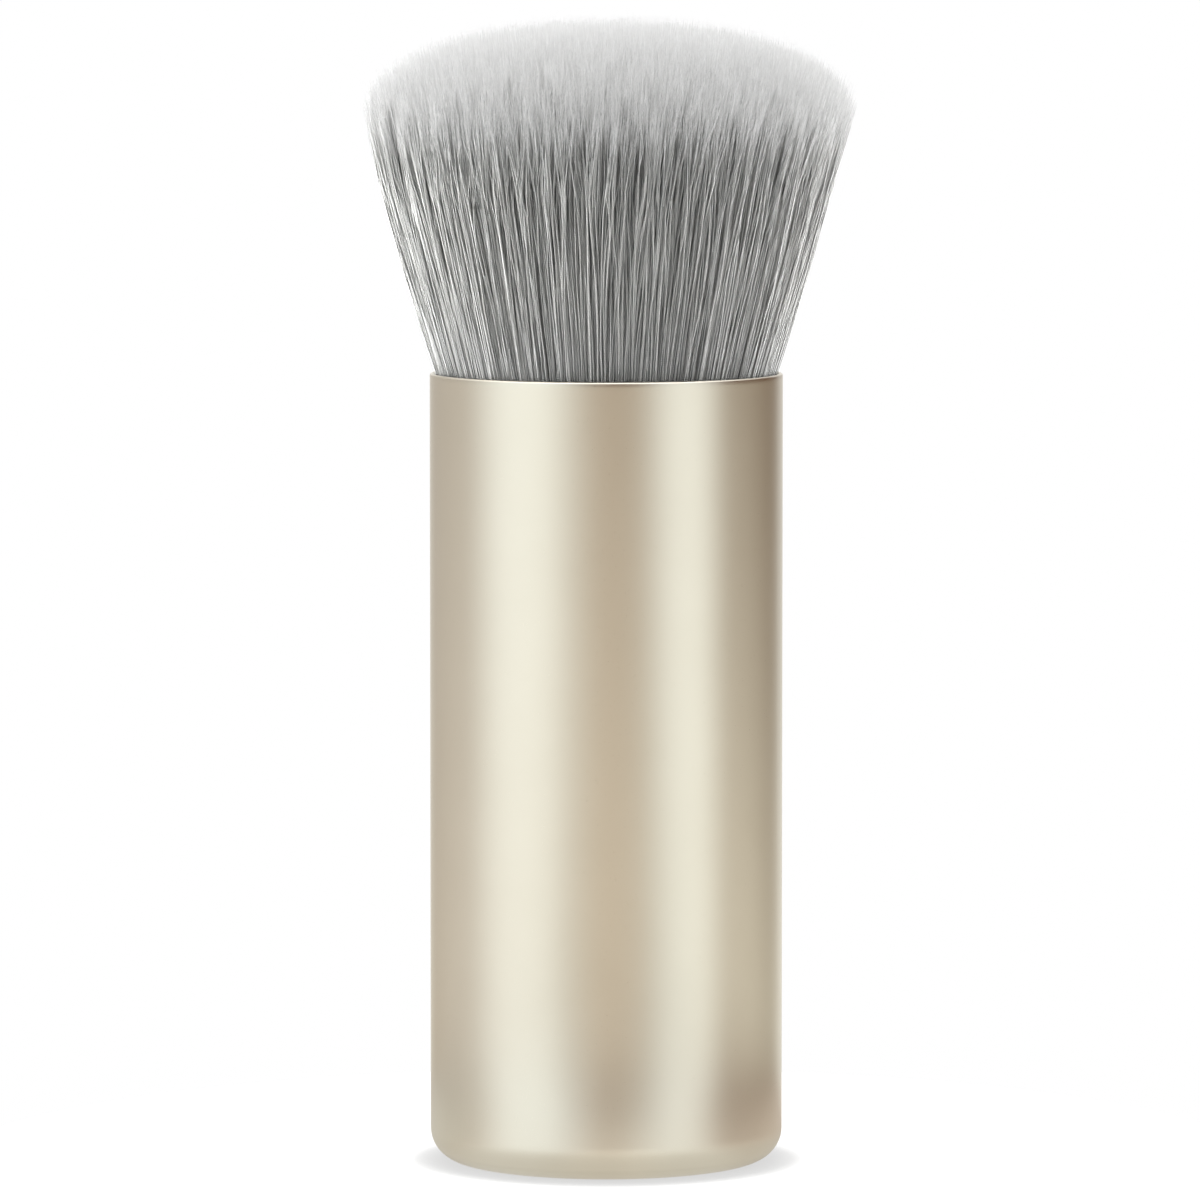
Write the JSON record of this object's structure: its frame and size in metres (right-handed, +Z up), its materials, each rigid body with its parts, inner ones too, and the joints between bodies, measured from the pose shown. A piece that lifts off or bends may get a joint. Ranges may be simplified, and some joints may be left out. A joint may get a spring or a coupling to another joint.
{
  "type": "buffing brush",
  "caption": "Handheld buffing brush with a dense domed head of synthetic bristles flaring from a cylindrical satin metal handle that stands on its closed base.",
  "frame": {"origin": "centre of the flat base, on the surface the brush stands on", "axes": "+Z up along the brush's axis, from the base towards the bristle tips; the brush is round, so X and Y are free"},
  "size_m": [0.0457, 0.0458, 0.1068],
  "materials": {
    "champagne_metal": "satin champagne anodised",
    "core_plastic": "matte moulded",
    "pad_foam": "matte cellular",
    "weight_steel": "turned",
    "set_glue": "set glossy",
    "cup_metal": "plain drawn",
    "root_resin": "cast",
    "binding_cord": "plain",
    "filament": "soft tapered filament, grey at the roots and near-white at the tips"
  },
  "bodies": {
    "root": {"handle_shell": "champagne_metal", "core_body": "core_plastic", "base_pad": "pad_foam", "counterweight": "weight_steel", "lower_glue_bead": "set_glue", "upper_glue_bead": "set_glue", "ferrule_cup": "cup_metal", "cup_glue_bead": "set_glue", "root_block": "root_resin", "binding_ring": "binding_cord", "inner_bristles": "filament", "middle_bristles": "filament", "outer_bristles": "filament"}
  },
  "joints": []
}
